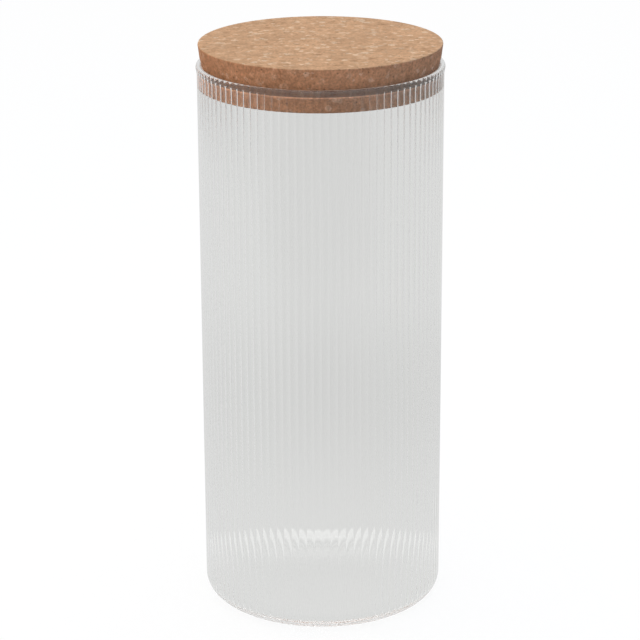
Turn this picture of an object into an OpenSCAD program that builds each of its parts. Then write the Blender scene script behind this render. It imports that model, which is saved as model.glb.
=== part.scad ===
// Storage jar of clear reeded glass with a push-in cork lid.
// Millimetres. Z is up, and the origin is under the centre of the foot, on the surface that the jar stands on.

/* [Jar] */
// Outer diameter of the straight wall
jar_d = 120; // [90:1:150]
// Height of the jar, from the foot to the crest of the rim
jar_h = 276; // [150:1:320]
// Thickness of the wall at the valleys between the reeds
wall_t = 2.1; // [1.8:0.1:2.4]
// Thickness of the floor beside the wall
floor_t = 6; // [5:0.5:10]
// Radius of the outer foot corner
foot_r = 6; // [3:0.5:10]
// Radius of the inner floor corner
floor_corner_r = 5; // [3:0.5:10]
// How far the centre of the floor crowns above its edge
floor_crown = 1.2; // [0.5:0.1:3]

/* [Base] */
// Radius inside which the underside is pushed up
pushup_r = 46; // [25:1:48]
// Height of the push-up at the centre
pushup_h = 2.2; // [0.5:0.1:4]

/* [Rim] */
// Thickness of the fire-polished bead round the rim
bead_t = 3.06; // [2.8:0.02:4]
// How far the bead stands out of the wall
bead_out = 0.52; // [0.3:0.02:0.8]
// Angle at which the wall swells out into the bead
bead_draft = 10; // [6:1:20]

/* [Reeds] */
// Number of reeds round the inside of the wall
reed_count = 96; // [48:4:120]
// How far a reed's crest stands in from the valleys
reed_depth = 0.45; // [0.3:0.05:0.6]
// Distance from the crest of the rim down to the upper ends of the reeds
reed_top_gap = 4.2; // [4:0.1:20]
// Height over which each reed runs out at its upper end
reed_runout_h = 1.6; // [0.5:0.1:5]

/* [Lid] */
// Diameter of the lid's top face
lid_d = 118.6; // [90:0.2:150]
// Height of the flared head above the rim
lid_head_h = 10; // [9:0.5:20]
// Radius that the head gains over its upper part
lid_head_flare = 0.75; // [0:0.05:1.5]
// Height of the upper part of the head, above the step to the narrow neck
lid_head_upper_h = 6.5; // [4:0.5:7]
// Depth of the straight plug below the rim
lid_plug_h = 11; // [6:0.5:20]
// Radial clearance between the plug and the crests of the reeds
lid_fit = 0.25; // [0.15:0.05:0.5]
// Size of the worn edges round the top and the bottom of the lid
lid_edge = 0.5; // [0.2:0.1:1]

/* [Hidden] */
$fn = 192;
// Large shallow arcs need more segments in a preview.
shallow_fn = 2880;
// Cutters reach this far past what they cut.
past = 10;

jar_r = jar_d / 2;
valley_r = jar_r - wall_t;
crest_r = valley_r - reed_depth;
// The rounded corner of the floor starts this far outside the valleys, so that the reeds run down into it.
corner_relief = 0.3;
hollow_r = valley_r + corner_relief;
// The mouth above the reeds is this much wider than the valleys.
mouth_relief = 0.1;
mouth_r = valley_r + mouth_relief;
reed_top_z = jar_h - reed_top_gap;

// The bead is a ring of round section, and its crest is the top of the jar.
bead_r = bead_t / 2;
bead_ring_r = jar_r + bead_out - bead_r;
bead_z = jar_h - bead_r;
// The swelling below the bead ends this far inside the bead's surface, so that the two overlap.
draft_overlap = 0.008;
draft_end_x = bead_ring_r + (bead_r - draft_overlap) * cos(bead_draft);
draft_end_z = bead_z - (bead_r - draft_overlap) * sin(bead_draft);
draft_start_z = draft_end_z - (draft_end_x - jar_r) / tan(bead_draft);

// Each reed is an arc over this half chord and rise, which give its radius.
reed_half_angle = 180 / reed_count;
reed_half_chord = valley_r * sin(reed_half_angle);
reed_rise = valley_r * cos(reed_half_angle) - crest_r;
reed_arc_r = cap_r(reed_half_chord, reed_rise);

// The push-up and the crown of the floor are shallow spherical caps.
// The crown stops this far short of the rounded corner.
crown_margin = 1;
crown_r = hollow_r - floor_corner_r - crown_margin;
pushup_sphere_r = cap_r(pushup_r, pushup_h);
crown_sphere_r = cap_r(crown_r, floor_crown);

lid_r = lid_d / 2;
plug_r = min(crest_r, bead_ring_r - bead_r) - lid_fit;
lid_low_z = jar_h - lid_plug_h;
lid_high_z = jar_h + lid_head_h;
// The neck of the lid starts to flare just above the middle of the bead.
neck_z = bead_z + 0.2;

// Radius of the arc that rises by h over a half chord w
function cap_r(w, h) = (w * w + h * h) / (2 * h);

// What rounding by r takes off a square corner at the origin, where the solid lies towards -x and +y
module corner_waste(r) {
    difference() {
        translate([-r, -past]) square([r + past, r + past]);
        translate([-r, r]) circle(r);
    }
}

// Half section of the jar with nothing hollowed out, up to the middle of the bead
module blank_section() {
    difference() {
        union() {
            square([jar_r, bead_z]);
            polygon([
                [valley_r, draft_start_z],
                [jar_r, draft_start_z],
                [draft_end_x, draft_end_z],
                [valley_r, draft_end_z]
            ]);
        }
        translate([jar_r, 0]) corner_waste(foot_r);
        translate([0, pushup_h - pushup_sphere_r]) circle(pushup_sphere_r, $fn = shallow_fn);
    }
}

// Half section of the space inside as if it had no reeds, with a crowned floor and a rounded corner
module hollow_section() {
    difference() {
        translate([0, floor_t]) square([hollow_r, jar_h - floor_t]);
        translate([hollow_r, floor_t]) corner_waste(floor_corner_r);
        translate([0, floor_t + floor_crown - crown_sphere_r]) circle(crown_sphere_r, $fn = shallow_fn);
    }
}

// Plan of the space inside between the reeds
module reeded_plan() {
    difference() {
        circle(hollow_r);
        for (i = [0 : reed_count - 1])
            rotate(2 * reed_half_angle * i)
                translate([crest_r + reed_arc_r, 0]) circle(reed_arc_r);
    }
}

// Half section of the mouth above the reeds, with the cone on which they run out
module mouth_section() {
    cone_h = mouth_r * reed_runout_h / (mouth_r - crest_r);
    polygon([
        [0, reed_top_z - cone_h],
        [mouth_r, reed_top_z],
        [mouth_r, jar_h],
        [0, jar_h]
    ]);
}

// One-piece glass jar: smooth outside, reeded inside
module glass_jar() {
    color([0.86, 0.90, 0.88, 0.35]) {
        difference() {
            rotate_extrude() blank_section();
            intersection() {
                rotate_extrude() hollow_section();
                union() {
                    linear_extrude(jar_h) reeded_plan();
                    rotate_extrude() mouth_section();
                }
            }
        }
        rotate_extrude() translate([bead_ring_r, bead_z]) circle(bead_r);
    }
}

// Turned lid of agglomerated cork: straight plug, short neck and flared head
module cork_lid() {
    color([0.77, 0.61, 0.47])
    rotate_extrude() polygon([
        [0, lid_low_z],
        [plug_r - lid_edge, lid_low_z],
        [plug_r, lid_low_z + lid_edge],
        [plug_r, neck_z],
        [lid_r - lid_head_flare, lid_high_z - lid_head_upper_h],
        [lid_r, lid_high_z - lid_edge],
        [lid_r - lid_edge, lid_high_z],
        [0, lid_high_z]
    ]);
}

glass_jar();
cork_lid();
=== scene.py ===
# %% [markdown]
# # A reeded glass jar with a cork lid
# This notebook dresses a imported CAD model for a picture. The CAD model says where the two pieces are and
# how big they are, and everything below only changes how they look. The first cell loads that model.
# Nothing in it is moved: a new mesh is laid over each piece and told which piece it stands for.

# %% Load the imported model
import math

import bpy
import numpy as np
from mathutils import Matrix, Vector


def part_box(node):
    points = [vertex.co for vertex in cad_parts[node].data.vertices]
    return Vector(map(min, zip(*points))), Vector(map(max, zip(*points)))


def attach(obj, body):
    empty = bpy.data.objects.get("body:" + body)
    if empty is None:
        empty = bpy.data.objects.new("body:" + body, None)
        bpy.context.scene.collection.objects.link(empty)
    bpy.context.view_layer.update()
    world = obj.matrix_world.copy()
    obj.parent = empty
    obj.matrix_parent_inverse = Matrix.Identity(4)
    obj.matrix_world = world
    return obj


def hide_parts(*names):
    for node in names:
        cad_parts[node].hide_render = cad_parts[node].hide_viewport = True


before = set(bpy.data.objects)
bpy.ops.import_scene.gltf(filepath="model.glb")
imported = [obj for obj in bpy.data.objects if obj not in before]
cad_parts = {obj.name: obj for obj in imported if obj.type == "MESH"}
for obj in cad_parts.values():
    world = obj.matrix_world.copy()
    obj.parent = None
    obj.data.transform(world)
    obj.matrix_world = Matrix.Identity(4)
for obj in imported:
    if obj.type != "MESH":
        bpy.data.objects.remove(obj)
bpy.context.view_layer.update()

scene = bpy.context.scene
MM = 0.001

# %% [markdown]
# ## Sizes
# The frame gives the outside of both pieces, and the rest are the glassmaker's dimensions: how thick the
# wall is, how deep the reeds are, how round the foot is. Most are the ones that the CAD model was drawn
# with, so that the new surfaces lie on the old ones. The floor, its inner corner, the foot and the bead
# differ from it by a few millimetres at most, because light in glass shows them better than any outline
# does.

# %% Measure the frame and name the dimensions
jar_low, jar_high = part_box("glass_jar")
lid_low, lid_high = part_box("cork_lid")

JAR_H = jar_high[2]
BEAD_OUT = 0.52 * MM
JAR_R = float(jar_high[0] - jar_low[0]) / 2 - BEAD_OUT
WALL = 2.1 * MM
VALLEY_R = JAR_R - WALL
REED_COUNT = 96
REED_DEPTH = 0.45 * MM
FLOOR = 5 * MM
FLOOR_CROWN = 1.2 * MM
FLOOR_CORNER = 2.5 * MM
FOOT_CORNER = 9 * MM
PUSHUP_R = 46 * MM
PUSHUP_H = 2.2 * MM
BEAD_R = 1.56 * MM
BEAD_RING_R = JAR_R + BEAD_OUT - BEAD_R
BEAD_Z = JAR_H - BEAD_R
BEAD_DRAFT = math.radians(10)
LID_LOW, LID_HIGH = lid_low[2], lid_high[2]
LID_R = float(lid_high[0] - lid_low[0]) / 2
LID_FLARE = 0.75 * MM
LID_UPPER_H = 6.5 * MM
LID_EDGE = 0.5 * MM
LID_FIT = 0.25 * MM
PLUG_R = VALLEY_R - REED_DEPTH - LID_FIT
NECK_Z = BEAD_Z + 0.2 * MM
print(f"wall radius {JAR_R / MM:.2f} mm, rim at {JAR_H / MM:.1f} mm")
print(f"lid from {LID_LOW / MM:.1f} to {LID_HIGH / MM:.1f} mm")

# %% [markdown]
# ## Turning a profile into a mesh
# Both pieces are round, so each is a grid: the rows follow the profile from one pole to the other, and
# the columns go round the axis. A lathe modifier could do the same for a plain profile, but the reeds
# make the radius depend on the column too, and a grid of numbers takes any such rule. The whole grid goes
# to Blender in a few calls.

# %% Profile pieces and the grid
def line(start, end, count):
    """Points from start to end: start + t (end - start) for count values of t, the end left out."""
    t = np.arange(count)[:, None] / count
    return np.array(start) + t * (np.array(end) - np.array(start))


def arc(centre, radius, from_deg, to_deg, count):
    """Points centre + radius (cos a, sin a) for count angles a, the last one left out."""
    a = np.radians(from_deg + (to_deg - from_deg) * np.arange(count) / count)
    return np.array(centre) + radius * np.stack([np.cos(a), np.sin(a)], -1)


def closed_grid(name, radius, height, angle, material):
    """Mesh of the points (radius cos angle, radius sin angle, height). Rows run from the lower pole to the
    upper one. The first and last row each shrink to one point, so the surface is closed and faces out."""
    rows, columns = radius.shape
    points = np.stack([radius * np.cos(angle), radius * np.sin(angle), height], -1)
    inner = points[1:-1].reshape(-1, 3)
    verts = np.vstack([points[:1, 0], inner, points[-1:, 0]])
    row = 1 + np.arange(rows - 3)[:, None] * columns
    here = np.arange(columns)
    there = (here + 1) % columns
    quads = np.stack([row + here, row + there, row + there + columns, row + here + columns], -1)
    quads = quads.reshape(-1, 4)
    last = 1 + (rows - 3) * columns
    lower_fan = np.stack([np.zeros(columns, int), 1 + there, 1 + here], -1)
    upper_fan = np.stack([np.full(columns, len(verts) - 1), last + here, last + there], -1)
    mesh = bpy.data.meshes.new(name)
    corners = np.concatenate([quads.ravel(), lower_fan.ravel(), upper_fan.ravel()])
    sizes = np.repeat([4, 3], [len(quads), 2 * columns])
    mesh.vertices.add(len(verts))
    mesh.vertices.foreach_set("co", verts.astype(np.float32).ravel())
    mesh.loops.add(len(corners))
    mesh.loops.foreach_set("vertex_index", corners.astype(np.int32))
    mesh.polygons.add(len(sizes))
    mesh.polygons.foreach_set("loop_start", (np.cumsum(sizes) - sizes).astype(np.int32))
    mesh.polygons.foreach_set("use_smooth", np.ones(len(sizes), bool))
    mesh.update(calc_edges=True)
    mesh.validate()
    mesh.materials.append(material)
    piece = bpy.data.objects.new(name, mesh)
    scene.collection.objects.link(piece)
    print(name, "has", len(quads) * 2 + columns * 2, "triangles")
    return piece


# %% [markdown]
# ## The glass
# Soda-lime glass bends light with an index near 1.52 and takes out a little of it, least of all green.
# The Principled shader does both when its transmission is 1. A lamp can't be sampled through bent glass,
# so what lights the cork inside is found by the bounced rays, and refractive caustics have to be on for
# them to count.

# %% Glass material
GLASS_TINT = (0.966, 0.969, 0.962, 1)
GLASS_IOR = 1.52


def new_material(name):
    """An empty node material, its node tree, and its output's surface socket."""
    material = bpy.data.materials.new(name)
    material.use_nodes = True
    material.node_tree.nodes.clear()
    output = material.node_tree.nodes.new("ShaderNodeOutputMaterial")
    return material, material.node_tree, output.inputs["Surface"]


def glass_material():
    material, tree, surface = new_material("clear_glass")
    body = tree.nodes.new("ShaderNodeBsdfPrincipled")
    body.inputs["Base Color"].default_value = GLASS_TINT
    body.inputs["Roughness"].default_value = 0.0
    body.inputs["IOR"].default_value = GLASS_IOR
    body.inputs["Transmission Weight"].default_value = 1.0
    tree.links.new(body.outputs["BSDF"], surface)
    return material


clear_glass = glass_material()
print("glass tint", GLASS_TINT[:3], "index", GLASS_IOR)

# %% [markdown]
# ## The reeds
# The plunger that pressed the jar was fluted, so the wall is smooth outside and stands in reeds inside. A
# reed's section is a shallow arc, here the parabola 1 - x^2 with x from -1 at one valley to 1 at the
# next. Ten columns make a reed, closer together near the valleys, where the surface turns sharply and the
# light breaks.

# %% Columns across the reeds
REED_STEPS = np.array([0, 0.03, 0.1, 0.22, 0.36, 0.5, 0.64, 0.78, 0.9, 0.97])
reed_u = np.tile(REED_STEPS, REED_COUNT)
reed_angle = (np.repeat(np.arange(REED_COUNT), len(REED_STEPS)) + reed_u) * 2 * math.pi / REED_COUNT
reed_x = 2 * reed_u - 1
# Radius of the reeded wall at every column: VALLEY_R - depth (1 - x^2)
reeded_r = VALLEY_R - REED_DEPTH * (1 - reed_x ** 2)
reed_pitch = 2 * math.pi * VALLEY_R / REED_COUNT
print(len(reed_angle), "columns,", REED_COUNT, "reeds", round(reed_pitch / MM, 2), "mm apart")

# %% [markdown]
# ## The jar's section
# The profile starts under the middle of the base, runs out over the push-up and the flat ring that the
# jar stands on, round the foot and up the outside. It swells into the bead, goes over the rim, and comes
# down the inside to the floor. The bead is what a flame leaves of the cut edge, so its section is round.

# %% Outside of the jar, from the middle of the base to the crest of the rim
def cap_radius(half_chord, rise):
    """Radius of the circle whose arc rises by rise over half_chord: (w^2 + h^2) / 2h."""
    return (half_chord ** 2 + rise ** 2) / (2 * rise)


def dome(half_chord, rise, base_z, count):
    """Points over a shallow spherical cap from its middle to its edge."""
    r = np.linspace(0, half_chord, count, endpoint=False)
    big = cap_radius(half_chord, rise)
    return np.stack([r, base_z + rise - big + np.sqrt(big ** 2 - r ** 2)], -1)


draft_deg = math.degrees(BEAD_DRAFT)
tangent_r = BEAD_RING_R + BEAD_R * math.cos(BEAD_DRAFT)
tangent_z = BEAD_Z - BEAD_R * math.sin(BEAD_DRAFT)
swell_z = tangent_z - (tangent_r - JAR_R) / math.tan(BEAD_DRAFT)
outside = np.vstack([
    dome(PUSHUP_R, PUSHUP_H, 0, 8),
    line((PUSHUP_R, 0), (JAR_R - FOOT_CORNER, 0), 3),
    arc((JAR_R - FOOT_CORNER, FOOT_CORNER), FOOT_CORNER, -90, 0, 12),
    line((JAR_R, FOOT_CORNER), (JAR_R, swell_z), 4),
    line((JAR_R, swell_z), (tangent_r, tangent_z), 3),
    arc((BEAD_RING_R, BEAD_Z), BEAD_R, -draft_deg, 90, 10),
])
print(len(outside), "rows outside")

# %% Inside of the jar, from the crest of the rim to the middle of the floor
CORNER_RELIEF = 0.3 * MM
CROWN_MARGIN = 1 * MM
hollow_r = VALLEY_R + CORNER_RELIEF
under_bead_deg = 180 + math.degrees(math.acos((BEAD_RING_R - hollow_r) / BEAD_R))
under_bead_z = BEAD_Z + BEAD_R * math.sin(math.radians(under_bead_deg))
corner_centre = (hollow_r - FLOOR_CORNER, FLOOR + FLOOR_CORNER)
floor_edge = corner_centre[0] - CROWN_MARGIN
inside = np.vstack([
    arc((BEAD_RING_R, BEAD_Z), BEAD_R, 90, 180, 10),
    arc((BEAD_RING_R, BEAD_Z), BEAD_R, 180, under_bead_deg, 14),
    line((hollow_r, under_bead_z), (hollow_r, corner_centre[1]), 8),
    arc(corner_centre, FLOOR_CORNER, 0, -90, 12),
    line((corner_centre[0], FLOOR), (floor_edge, FLOOR), 2),
    dome(floor_edge, FLOOR_CROWN, FLOOR, 8)[::-1],
])
print(len(inside), "rows inside")

# %% [markdown]
# The reeds go in last. At every row inside, the wall is the nearer to the axis of two surfaces, the plain
# section and the reeded wall. So the reeds sink into the bead at the top and into the rounded corner of
# the floor at the bottom by themselves, as they do in the mould.

# %% Jar mesh
section = np.vstack([outside, inside])
radius = np.repeat(section[:, :1], len(reed_angle), 1)
height = np.repeat(section[:, 1:], len(reed_angle), 1)
reeded = (np.arange(len(section)) >= len(outside)) & (section[:, 1] < BEAD_Z)
radius[reeded] = np.minimum(radius[reeded], reeded_r)
glass = closed_grid("reeded_jar", radius, height, reed_angle[None, :], clear_glass)
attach(glass, "jar")
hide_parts("glass_jar")

# %% [markdown]
# ## Cork
# Agglomerated cork is granules a few millimetres across, pressed together with a little binder. Most have
# nearly the same tone, a few are cream and a few are bark, which is dark. Voronoi cells are about the
# right shape: each has a random number, and a ramp turns it into a tone. Plain cells would look like
# crystals, so the smooth kind is used, which blends each tone into the next, and noise bends the cells.
# The top is paler and less saturated than the side, a painted sheen of the overhead light. All of it reads
# Object coordinates, so the granules run through the solid as they do in the real block.
#
# The bead is a round glass rod bent into a ring, and like any rod it gathers light into a bright line
# with a dark band beside it. Cycles finds such gathered light only by chance, as speckle, so a ramp over
# the height draws the band and the line. Light Path limits it to rays that have come through glass: a lid
# lifted out of the mouth is seen straight, and is plain cork.

# %% Cork material
# Colour of the side, and of the top face, which is paler and less saturated by a painted sheen of the
# overhead light
CORK_SIDE = (0.670, 0.325, 0.174, 1)
CORK_TOP_SHEEN = (0.685, 0.405, 0.228, 1)
SIDE_GRAIN, TOP_GRAIN = 0.60, 0.35
GRAIN_SCALE = 950
# Scale and depth of the coarser unevenness: clouds 18 mm wide, and mottling 3 mm wide
UNEVENNESS = [(55, 0.05), (330, 0.10)]
GRANULE_SCALE = 400
GRANULE_BEND = 2.2 * MM
BEND_SCALE = 600
GRANULE_BLEND = 0.35
SPECK_SCALE = 820
GRANULE_TONES = [
    (0.00, (0.78, 0.74, 0.70)),
    (0.08, (0.93, 0.92, 0.91)),
    (0.30, (0.98, 0.98, 0.98)),
    (0.70, (1.01, 1.02, 1.03)),
    (0.84, (1.08, 1.15, 1.22)),
    (0.95, (1.20, 1.42, 1.66)),
]
BARK_SPECK = 0.62
# Millimetres below the rim, and what the cork's colour is multiplied by there
BEAD_SHADE = [(0.0, 1.2), (1.4, 1.0), (1.8, 0.40), (3.2, 0.40), (3.4, 1.45), (3.75, 1.45), (4.05, 1.0)]
SHADE_SPAN = 8


def node(tree, kind, **sockets):
    """Adds a shader node and sets its sockets by name, with underscores for spaces."""
    made = tree.nodes.new(kind)
    for key, value in sockets.items():
        made.inputs[key.replace("_", " ")].default_value = value
    return made


def math_node(tree, operation, a, b, c=1.0):
    """A Math node on its inputs, each a socket or a number. Only the sum of a product has a third, c."""
    made = tree.nodes.new("ShaderNodeMath")
    made.operation = operation
    for slot, value in zip(made.inputs, (a, b, c)):
        if isinstance(value, (int, float)):
            slot.default_value = value
        else:
            tree.links.new(value, slot)
    return made.outputs["Value"]


def ramp_node(tree, factor, stops):
    """A colour ramp through (position, (r, g, b)) stops."""
    made = tree.nodes.new("ShaderNodeValToRGB")
    ramp = made.color_ramp
    while len(ramp.elements) < len(stops):
        ramp.elements.new(0.5)
    for element, (position, colour) in zip(ramp.elements, stops):
        element.position = position
        element.color = (*colour, 1)
    tree.links.new(factor, made.inputs["Fac"])
    return made.outputs["Color"]


def grey_stops(stops):
    return [(position, (level, level, level)) for position, level in stops]


def scaled(tree, vector, factor):
    """A vector or colour times a number."""
    made = tree.nodes.new("ShaderNodeVectorMath")
    made.operation = "SCALE"
    tree.links.new(vector, made.inputs[0])
    tree.links.new(factor, made.inputs["Scale"])
    return made.outputs["Vector"]


def multiplied(tree, first, second):
    """Two colours multiplied, channel by channel."""
    made = tree.nodes.new("ShaderNodeVectorMath")
    made.operation = "MULTIPLY"
    tree.links.new(first, made.inputs[0])
    tree.links.new(second, made.inputs[1])
    return made.outputs["Vector"]


def range_node(tree, value, from_low, from_high, to_low, to_high):
    """Value moved from one range to another, smoothly and clamped."""
    limits = {"From_Min": from_low, "From_Max": from_high, "To_Min": to_low, "To_Max": to_high}
    made = node(tree, "ShaderNodeMapRange", **limits)
    made.interpolation_type = "SMOOTHSTEP"
    tree.links.new(value, made.inputs["Value"])
    return made.outputs["Result"]


def noise(tree, place, scale, detail):
    made = node(tree, "ShaderNodeTexNoise", Scale=scale, Detail=detail)
    tree.links.new(place, made.inputs["Vector"])
    return made


def granules(tree, place):
    """Tone of the granules, from GRANULE_TONES: smooth Voronoi cells, 1 / GRANULE_SCALE metres wide, on
    coordinates bent by noise: place + GRANULE_BEND times the noise's colour."""
    bent = tree.nodes.new("ShaderNodeVectorMath")
    bent.operation = "MULTIPLY_ADD"
    tree.links.new(noise(tree, place, BEND_SCALE, 2).outputs["Color"], bent.inputs[0])
    bent.inputs[1].default_value = (GRANULE_BEND, GRANULE_BEND, GRANULE_BEND)
    tree.links.new(place, bent.inputs[2])
    cells = node(tree, "ShaderNodeTexVoronoi", Scale=GRANULE_SCALE)
    cells.feature = "SMOOTH_F1"
    cells.inputs["Smoothness"].default_value = GRANULE_BLEND
    tree.links.new(bent.outputs["Vector"], cells.inputs["Vector"])
    split = tree.nodes.new("ShaderNodeSeparateColor")
    tree.links.new(cells.outputs["Color"], split.inputs["Color"])
    return ramp_node(tree, split.outputs["Red"], GRANULE_TONES)


def bark_specks(tree, place):
    """Factor 1, or BARK_SPECK within a speck: the middle of one small Voronoi cell in 16."""
    cells = node(tree, "ShaderNodeTexVoronoi", Scale=SPECK_SCALE)
    tree.links.new(place, cells.inputs["Vector"])
    split = tree.nodes.new("ShaderNodeSeparateColor")
    tree.links.new(cells.outputs["Color"], split.inputs["Color"])
    rare = range_node(tree, split.outputs["Green"], 0.93, 0.95, 0, 1)
    middle = range_node(tree, cells.outputs["Distance"], 0.2, 0.5, 1, 0)
    speck = math_node(tree, "MULTIPLY", rare, middle)
    return range_node(tree, speck, 0, 1, 1, BARK_SPECK)


def bead_shade(tree, height):
    """Factor for the light that the bead bends, a dark ring on the plug with a bright line under it. It is
    1 + through glass (shade - 1), so that it is 1 for any ray that hasn't come through glass."""
    below = math_node(tree, "SUBTRACT", float(JAR_H), height)
    stops = grey_stops([(depth / SHADE_SPAN, level) for depth, level in BEAD_SHADE])
    shade = ramp_node(tree, math_node(tree, "DIVIDE", below, SHADE_SPAN * MM), stops)
    through_glass = tree.nodes.new("ShaderNodeLightPath").outputs["Is Transmission Ray"]
    return math_node(tree, "MULTIPLY_ADD", through_glass, math_node(tree, "SUBTRACT", shade, 1.0))


def cork_material():
    material, tree, surface = new_material("cork")
    place = tree.nodes.new("ShaderNodeTexCoord").outputs["Object"]
    split = tree.nodes.new("ShaderNodeSeparateXYZ")
    tree.links.new(place, split.inputs["Vector"])
    # Painted sheen of the overhead light: the top face gets the paler, less saturated colour
    top = range_node(tree, split.outputs["Z"], float(LID_HIGH) - 0.4 * MM, float(LID_HIGH) - 0.1 * MM, 0, 1)
    base = tree.nodes.new("ShaderNodeMix")
    base.data_type = "RGBA"
    base.inputs["A"].default_value = CORK_SIDE
    base.inputs["B"].default_value = CORK_TOP_SHEEN
    tree.links.new(top, base.inputs["Factor"])
    grain = noise(tree, place, GRAIN_SCALE, 5).outputs["Fac"]
    contrast = range_node(tree, top, 0, 1, SIDE_GRAIN, TOP_GRAIN)
    swing = math_node(tree, "MULTIPLY", math_node(tree, "SUBTRACT", grain, 0.5), contrast)
    colour = multiplied(tree, base.outputs["Result"], granules(tree, place))
    colour = scaled(tree, colour, bark_specks(tree, place))
    colour = scaled(tree, colour, math_node(tree, "MULTIPLY_ADD", swing, 2.0))
    for scale, depth in UNEVENNESS:
        uneven = noise(tree, place, scale, 2).outputs["Fac"]
        colour = scaled(tree, colour, range_node(tree, uneven, 0.3, 0.7, 1 - depth, 1 + depth))
    colour = scaled(tree, colour, bead_shade(tree, split.outputs["Z"]))
    body = node(tree, "ShaderNodeBsdfPrincipled", Roughness=0.85)
    body.inputs["Specular IOR Level"].default_value = 0.12
    tree.links.new(colour, body.inputs["Base Color"])
    bump = node(tree, "ShaderNodeBump", Strength=0.3, Distance=0.0004)
    tree.links.new(grain, bump.inputs["Height"])
    tree.links.new(bump.outputs["Normal"], body.inputs["Normal"])
    tree.links.new(body.outputs["BSDF"], surface)
    return material


cork = cork_material()
print("granules", round(1 / GRANULE_SCALE / MM, 1), "mm wide in", len(GRANULE_TONES), "tones")

# %% [markdown]
# ## The lid
# The lid was turned from one block: a straight plug, a short neck that the glass grips, and a head that
# flares out over the rim. Its edges are slightly worn. The same grid as the jar's makes it, with every
# column alike, and the worn edges are quarter circles in the profile, which shade better than a bevel
# would.

# %% Lid mesh
lid_section = np.vstack([
    line((0, LID_LOW), (PLUG_R - LID_EDGE, LID_LOW), 8),
    arc((PLUG_R - LID_EDGE, LID_LOW + LID_EDGE), LID_EDGE, -90, 0, 5),
    line((PLUG_R, LID_LOW + LID_EDGE), (PLUG_R, NECK_Z), 10),
    line((PLUG_R, NECK_Z), (LID_R - LID_FLARE, LID_HIGH - LID_UPPER_H), 5),
    line((LID_R - LID_FLARE, LID_HIGH - LID_UPPER_H), (LID_R, LID_HIGH - LID_EDGE), 7),
    arc((LID_R - LID_EDGE, LID_HIGH - LID_EDGE), LID_EDGE, 0, 90, 5),
    line((LID_R - LID_EDGE, LID_HIGH), (0, LID_HIGH), 12),
    [(0, LID_HIGH)],
])
LID_COLUMNS = 480
lid_angle = np.arange(LID_COLUMNS) * 2 * math.pi / LID_COLUMNS
lid_radius = np.repeat(lid_section[:, :1], len(lid_angle), 1)
lid_height = np.repeat(lid_section[:, 1:], len(lid_angle), 1)
lid = closed_grid("cork_stopper", lid_radius, lid_height, lid_angle[None, :], cork)
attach(lid, "lid")
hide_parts("cork_lid")

# %% [markdown]
# ## The floor
# Clear glass shows what is round it, so the room matters more than the lamps. On a white page a clear jar
# is only visible because it shows something darker than the page: the grey walls and floor of the studio.
# Light Path makes that possible in one material. A ray straight from the camera sees a white floor, which
# still takes the jar's shadow, and a ray that was reflected or bent by glass sees a grey one. A real grey
# floor would need the white to be cut out afterwards.
#
# The grey isn't even. There is a soft pool of shade behind the jar, and a little more light from the
# left. The floor in front is dark where the near wall mirrors it, which keeps the cork behind that wall
# rich in colour. Seen right through the jar, from behind, it is as grey as the rest. The foot of a jar
# gathers light too, as the bead does, and throws it into a ring on the floor behind. That ring is drawn
# on the floor for the same reason: found by chance, it would be speckle.

# %% Floor
# Levels to the camera, of its shadow, of what it gives back to the cork, and as glass shows it
FLOOR_SEEN = 0.94
FLOOR_LIT = 0.09
FLOOR_BOUNCE = 0.80
FLOOR_THROUGH_GLASS = 0.755
POOL = 0.09
POOL_AT = (0.10, 0.27)
POOL_SIZE = (0.36, 0.24)
FOOT_RING = 0.15
# Radii between which the ring comes up, and between which it dies away again
FOOT_RING_R = (46 * MM, 53 * MM, 60 * MM, 74 * MM)
FOOT_RING_FADE = 40 * MM
LEFT_GAIN, RIGHT_LOSS = 0.02, 0.07
SIDE_FROM, SIDE_TO = 0.12, 0.45
FRONT_DARK = 0.16
FRONT_FROM, FRONT_TO = -0.30, -0.70
# A ray has crossed two surfaces when it leaves the near wall again, and four when it has come right through
NEAR_WALL_DEPTH = 3.5
FLOOR_HALF = 3.0
FLOOR_DROP = 0.2 * MM


def ray_factors(tree):
    """Two factors from Light Path: seen straight by the camera, and seen in or through the glass."""
    path = tree.nodes.new("ShaderNodeLightPath")
    glassy = math_node(tree, "MAXIMUM", path.outputs["Is Glossy Ray"], path.outputs["Is Transmission Ray"])
    early = math_node(tree, "LESS_THAN", path.outputs["Diffuse Depth"], 0.5)
    return path.outputs["Is Camera Ray"], math_node(tree, "MULTIPLY", glassy, early)


def mix_shaders(tree, factor, first, second):
    made = tree.nodes.new("ShaderNodeMixShader")
    tree.links.new(factor, made.inputs["Fac"])
    tree.links.new(first, made.inputs[1])
    tree.links.new(second, made.inputs[2])
    return made.outputs["Shader"]


def emission(tree, level, kind="ShaderNodeEmission"):
    made = node(tree, kind, Strength=level)
    made.inputs["Color"].default_value = (1, 1, 1, 1)
    return made


def distance(tree, x, y, at=(0, 0), size=(1, 1)):
    """Distance on the floor from a point, in units of size along X and along Y."""
    off_x = math_node(tree, "MULTIPLY", math_node(tree, "SUBTRACT", x, at[0]), 1 / size[0])
    off_y = math_node(tree, "MULTIPLY", math_node(tree, "SUBTRACT", y, at[1]), 1 / size[1])
    square_x = math_node(tree, "POWER", off_x, 2.0)
    square_y = math_node(tree, "POWER", off_y, 2.0)
    return math_node(tree, "SQRT", math_node(tree, "ADD", square_x, square_y), 0.0)


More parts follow.
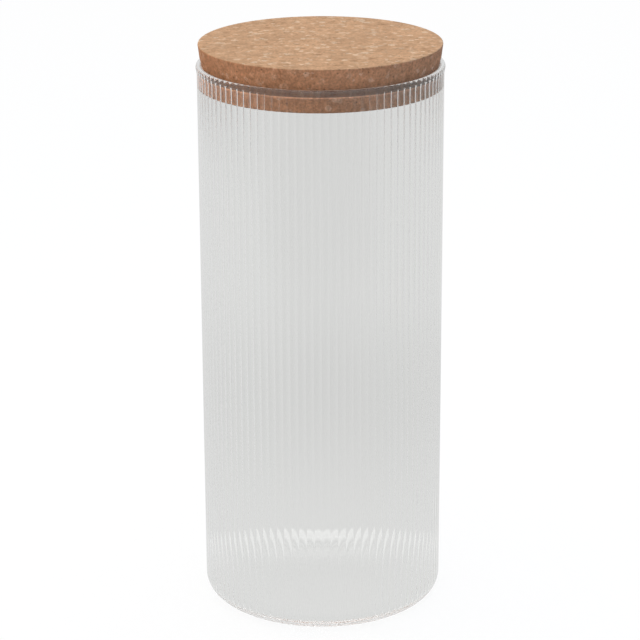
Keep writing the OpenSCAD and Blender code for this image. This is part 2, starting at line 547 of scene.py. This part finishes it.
def floor_glow(tree):
    """What the glass shows of the floor: FLOOR_THROUGH_GLASS, with a soft pool of shade behind the jar, more
    light from the left than from the right, a bright ring under the back of the foot, and FRONT_DARK in front
    for rays that the near wall mirrors. Every term is a smooth step of X, Y or a distance on the floor."""
    split = tree.nodes.new("ShaderNodeSeparateXYZ")
    tree.links.new(tree.nodes.new("ShaderNodeTexCoord").outputs["Object"], split.inputs["Vector"])
    x, y = split.outputs["X"], split.outputs["Y"]
    from_pool = distance(tree, x, y, POOL_AT, POOL_SIZE)
    glow = range_node(tree, from_pool, 0, 1, FLOOR_THROUGH_GLASS - POOL, FLOOR_THROUGH_GLASS)
    glow = math_node(tree, "ADD", glow, range_node(tree, x, -SIDE_TO, -SIDE_FROM, LEFT_GAIN, 0))
    glow = math_node(tree, "SUBTRACT", glow, range_node(tree, x, SIDE_FROM, SIDE_TO, 0, RIGHT_LOSS))
    from_axis = distance(tree, x, y)
    rise = range_node(tree, from_axis, *FOOT_RING_R[:2], 0, FOOT_RING)
    ring = math_node(tree, "MULTIPLY", rise, range_node(tree, from_axis, *FOOT_RING_R[2:], 1, 0))
    ring = math_node(tree, "MULTIPLY", ring, range_node(tree, y, 0, FOOT_RING_FADE, 0, 1))
    glow = math_node(tree, "ADD", glow, ring)
    light_lost = range_node(tree, y, FRONT_TO, FRONT_FROM, 1 - FRONT_DARK / FLOOR_THROUGH_GLASS, 0)
    path = tree.nodes.new("ShaderNodeLightPath")
    near_wall = math_node(tree, "LESS_THAN", path.outputs["Transmission Depth"], NEAR_WALL_DEPTH)
    mirrored = math_node(tree, "GREATER_THAN", path.outputs["Glossy Depth"], 0.5)
    by_near_wall = math_node(tree, "MULTIPLY", near_wall, mirrored)
    kept = math_node(tree, "SUBTRACT", 1.0, math_node(tree, "MULTIPLY", light_lost, by_near_wall))
    return math_node(tree, "MULTIPLY", glow, kept)


def floor_material():
    material, tree, surface = new_material("pale_floor")
    to_camera, glassy = ray_factors(tree)
    bounce = node(tree, "ShaderNodeBsdfDiffuse", Color=(FLOOR_BOUNCE, FLOOR_BOUNCE, FLOOR_BOUNCE, 1))
    lit = node(tree, "ShaderNodeBsdfDiffuse", Color=(FLOOR_LIT, FLOOR_LIT, FLOOR_LIT, 1))
    seen = tree.nodes.new("ShaderNodeAddShader")
    tree.links.new(emission(tree, FLOOR_SEEN).outputs["Emission"], seen.inputs[0])
    tree.links.new(lit.outputs["BSDF"], seen.inputs[1])
    glow = emission(tree, 1.0)
    tree.links.new(floor_glow(tree), glow.inputs["Strength"])
    through = mix_shaders(tree, glassy, bounce.outputs["BSDF"], glow.outputs["Emission"])
    tree.links.new(mix_shaders(tree, to_camera, through, seen.outputs["Shader"]), surface)
    return material


floor_mesh = bpy.data.meshes.new("floor")
corners = [(x * FLOOR_HALF, y * FLOOR_HALF, 0) for x, y in ((-1, -1), (1, -1), (1, 1), (-1, 1))]
floor_mesh.from_pydata(corners, [], [(0, 1, 2, 3)])
floor_mesh.materials.append(floor_material())
floor = bpy.data.objects.new("floor", floor_mesh)
scene.collection.objects.link(floor)
floor.location.z = -FLOOR_DROP
print("floor", 2 * FLOOR_HALF, "m wide, its level through glass", FLOOR_THROUGH_GLASS)

# %% [markdown]
# ## The backdrop
# The world is split in the same way. The camera sees white, glass sees a grey room that gets lighter
# towards the ceiling, and everything else is lit by a dome, a little warm from the left and cool from the
# right. Light that reaches the cork through glass has to find its way past the reeds, and a path tracer
# loses some of it, so the dome is brighter for rays that have crossed glass.

# %% World
BACKDROP = 1.0
# Level from straight down, at 0, over the horizon, at 0.5, to straight up, at 1
SURROUND = [(0.0, 0.3), (0.5, 0.70), (0.7, 0.70), (1.0, 1.0)]
THROUGH_GLASS_GAIN = 1.6
DOME = [(0.0, (0.34, 0.34, 0.34)), (0.5, (0.44, 0.42, 0.405)), (1.0, (0.68, 0.68, 0.68))]
WARM_LEFT = (1.30, 1.14, 0.94, 1)
COOL_RIGHT = (0.24, 0.50, 0.86, 1)


def world_shader():
    world = bpy.data.worlds.new("studio")
    scene.world = world
    world.use_nodes = True
    tree = world.node_tree
    tree.nodes.clear()
    output = tree.nodes.new("ShaderNodeOutputWorld")
    to_camera, glassy = ray_factors(tree)
    split = tree.nodes.new("ShaderNodeSeparateXYZ")
    tree.links.new(tree.nodes.new("ShaderNodeTexCoord").outputs["Generated"], split.inputs["Vector"])
    rise = range_node(tree, split.outputs["Z"], -1, 1, 0, 1)
    rise.node.interpolation_type = "LINEAR"
    side = tree.nodes.new("ShaderNodeMix")
    side.data_type = "RGBA"
    side.inputs["A"].default_value = WARM_LEFT
    side.inputs["B"].default_value = COOL_RIGHT
    tree.links.new(range_node(tree, split.outputs["X"], -1, 1, 0, 1), side.inputs["Factor"])
    light = emission(tree, 1.0, "ShaderNodeBackground")
    dome_colour = multiplied(tree, ramp_node(tree, rise, DOME), side.outputs["Result"])
    tree.links.new(dome_colour, light.inputs["Color"])
    crossed = tree.nodes.new("ShaderNodeLightPath").outputs["Is Transmission Ray"]
    tree.links.new(range_node(tree, crossed, 0, 1, 1, 1 + THROUGH_GLASS_GAIN), light.inputs["Strength"])
    around = emission(tree, 1.0, "ShaderNodeBackground")
    tree.links.new(ramp_node(tree, rise, grey_stops(SURROUND)), around.inputs["Strength"])
    behind = emission(tree, BACKDROP, "ShaderNodeBackground")
    shown = mix_shaders(tree, glassy, light.outputs["Background"], around.outputs["Background"])
    whole = mix_shaders(tree, to_camera, shown, behind.outputs["Background"])
    tree.links.new(whole, output.inputs["Surface"])


world_shader()
print("dome levels", [colour[0] for _, colour in DOME])

# %% [markdown]
# ## The lamp
# One wide softbox overhead lights the sanded top, leaves the sides to the dome, and puts a soft shadow on
# the floor round the foot. A disk as wide as this gives no hard edge in the glass.

# %% Lamp
SOFTBOX_AT = Vector((0.0, 0.15, 1.4))
SOFTBOX_AIM = Vector((0, 0, 0.2))
SOFTBOX_SIZE = 1.3
SOFTBOX_WATTS = 6.0
softbox = bpy.data.lights.new("overhead", "AREA")
softbox.shape = "DISK"
softbox.size = SOFTBOX_SIZE
softbox.energy = SOFTBOX_WATTS
holder = bpy.data.objects.new("overhead", softbox)
scene.collection.objects.link(holder)
holder.location = SOFTBOX_AT
holder.rotation_euler = (SOFTBOX_AIM - SOFTBOX_AT).to_track_quat("-Z", "Y").to_euler()
print("softbox", SOFTBOX_WATTS, "W,", SOFTBOX_SIZE, "m wide")

# %% [markdown]
# ## The camera
# A product photograph is taken from far back with a long lens, so that the rim and the foot look nearly
# alike. How much narrower the foot looks than the rim gives the distance, and how open the rim's ellipse
# is gives the height. Both are in wall radii, so that they hold at any scale of the jar. FOCAL_PX is the
# focal length in pixels of a picture IMAGE_PX wide.

# %% Camera
FOCAL_PX = 2505
IMAGE_PX = 640
SENSOR_MM = 36
CAMERA_BACK = 19.8 * JAR_R
CAMERA_UP = 9.18 * JAR_R
CAMERA_PITCH = 0.330
CAMERA_SIDE = -0.0132 * JAR_R
CAMERA_ROLL = 0.0045
camera_data = bpy.data.cameras.new("camera")
camera_data.sensor_width = SENSOR_MM
camera_data.lens = FOCAL_PX / IMAGE_PX * SENSOR_MM
camera_data.clip_end = 50
camera = bpy.data.objects.new("camera", camera_data)
scene.collection.objects.link(camera)
camera.location = (CAMERA_SIDE, -CAMERA_BACK, CAMERA_UP)
tilt = Matrix.Rotation(math.pi / 2 - CAMERA_PITCH, 3, "X") @ Matrix.Rotation(-CAMERA_ROLL, 3, "Z")
camera.rotation_euler = tilt.to_euler()
scene.camera = camera
print("lens", round(camera_data.lens, 1), "mm at", round(CAMERA_BACK, 2), "m")

# %% [markdown]
# ## Light paths
# A ray that enters the foot edgeways is reflected inside the glass many times before it leaves. Blender's
# usual limits stop it early, and each ray that is stopped is a black dot, so the limits go up. They cost
# little here, because few rays need them.

# %% Bounces
BOUNCES = 96
scene.cycles.max_bounces = BOUNCES
scene.cycles.transmission_bounces = BOUNCES
scene.cycles.glossy_bounces = BOUNCES
scene.cycles.transparent_max_bounces = 16
scene.cycles.caustics_refractive = True
scene.cycles.caustics_reflective = False
scene.view_settings.view_transform = "Standard"
print("bounces", BOUNCES)
